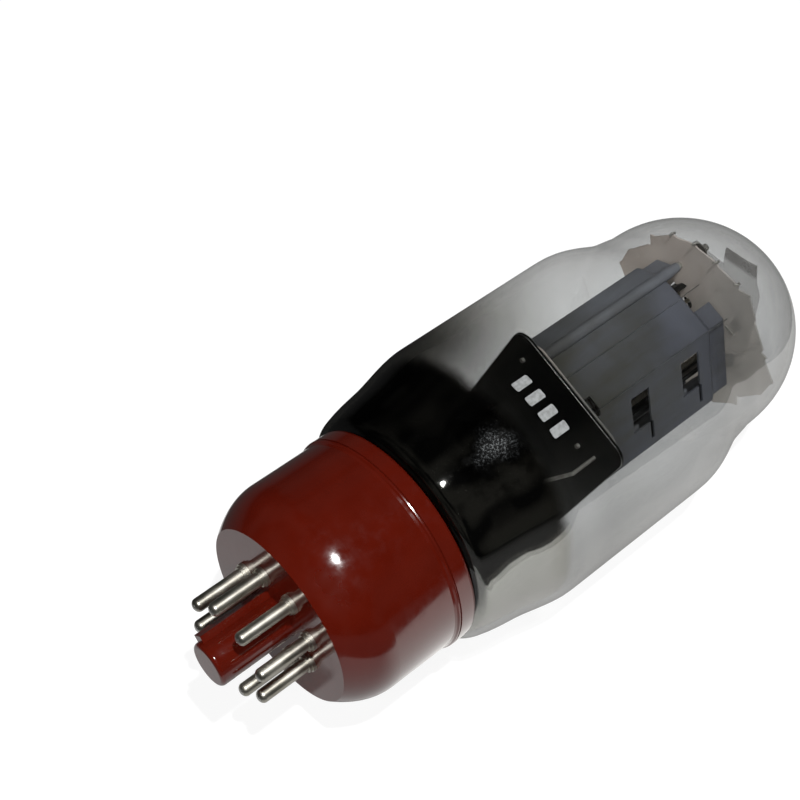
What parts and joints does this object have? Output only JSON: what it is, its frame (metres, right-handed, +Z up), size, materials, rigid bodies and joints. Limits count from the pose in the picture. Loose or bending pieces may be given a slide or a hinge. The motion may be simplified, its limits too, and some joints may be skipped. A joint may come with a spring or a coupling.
{
  "type": "vacuum tube",
  "caption": "Glass beam power tube with a waisted bulb, getter mirror, folded anode on micas, and a keyed octal base with plated contact pins.",
  "frame": {"origin": "centre of the base's flat seating face, on the tube's axis", "axes": "+X along the tube's axis from base to dome, +Z up as the tube lies on its side, with the key at 48.7 degrees from +Y towards +Z"},
  "size_m": [0.1316, 0.0508, 0.0508],
  "materials": {
    "phenolic": "polished moulded phenolic",
    "pin_plating": "nickel plated, lightly tarnished",
    "solder": "tinned",
    "cement": "matt cement",
    "bulb_glass": "clear blown glass",
    "stem_glass": "clear pressed glass",
    "getter_film": "evaporated metal mirror",
    "black_plate": "carbonised black",
    "anode_sheet": "carbonised blue grey",
    "bright_wire": "bright nickel",
    "lead_wire": "oxidised lead wire",
    "grid_wire": "bright grid wire",
    "mica": "translucent sheet mica",
    "cathode_coating": "matt white oxide",
    "heater_coating": "matt white alumina"
  },
  "bodies": {
    "root": {"anode_half_a": "anode_sheet", "anode_half_b": "anode_sheet", "anode_lead": "bright_wire", "anode_rod_a": "bright_wire", "anode_rod_b": "bright_wire", "anode_sleeve_a": "anode_sheet", "anode_sleeve_b": "anode_sheet", "anode_tabs": "bright_wire", "base_cement": "cement", "base_shell": "phenolic", "beam_plates": "anode_sheet", "bottom_mica": "mica", "bottom_shield": "black_plate", "cathode_lead": "lead_wire", "cathode_sleeve": "cathode_coating", "contact_pin_1": "pin_plating", "contact_pin_2": "pin_plating", "contact_pin_3": "pin_plating", "contact_pin_4": "pin_plating", "contact_pin_5": "pin_plating", "contact_pin_7": "pin_plating", "contact_pin_8": "pin_plating", "control_grid": "grid_wire", "control_grid_lead": "lead_wire", "exhaust_tip": "stem_glass", "getter_mirror": "getter_film", "getter_rings": "bright_wire", "getter_supports": "bright_wire", "glass_envelope": "bulb_glass", "heater": "heater_coating", "heater_lead_a": "lead_wire", "heater_lead_b": "lead_wire", "mica_eyelets": "bright_wire", "pin_wires": "lead_wire", "radiator_fins": "black_plate", "screen_grid": "grid_wire", "screen_grid_lead": "lead_wire", "solder_tips": "solder", "stem_flare": "stem_glass", "stem_pinch": "stem_glass", "support_rods": "bright_wire", "top_mica": "mica", "upper_mica": "mica"}
  },
  "joints": []
}
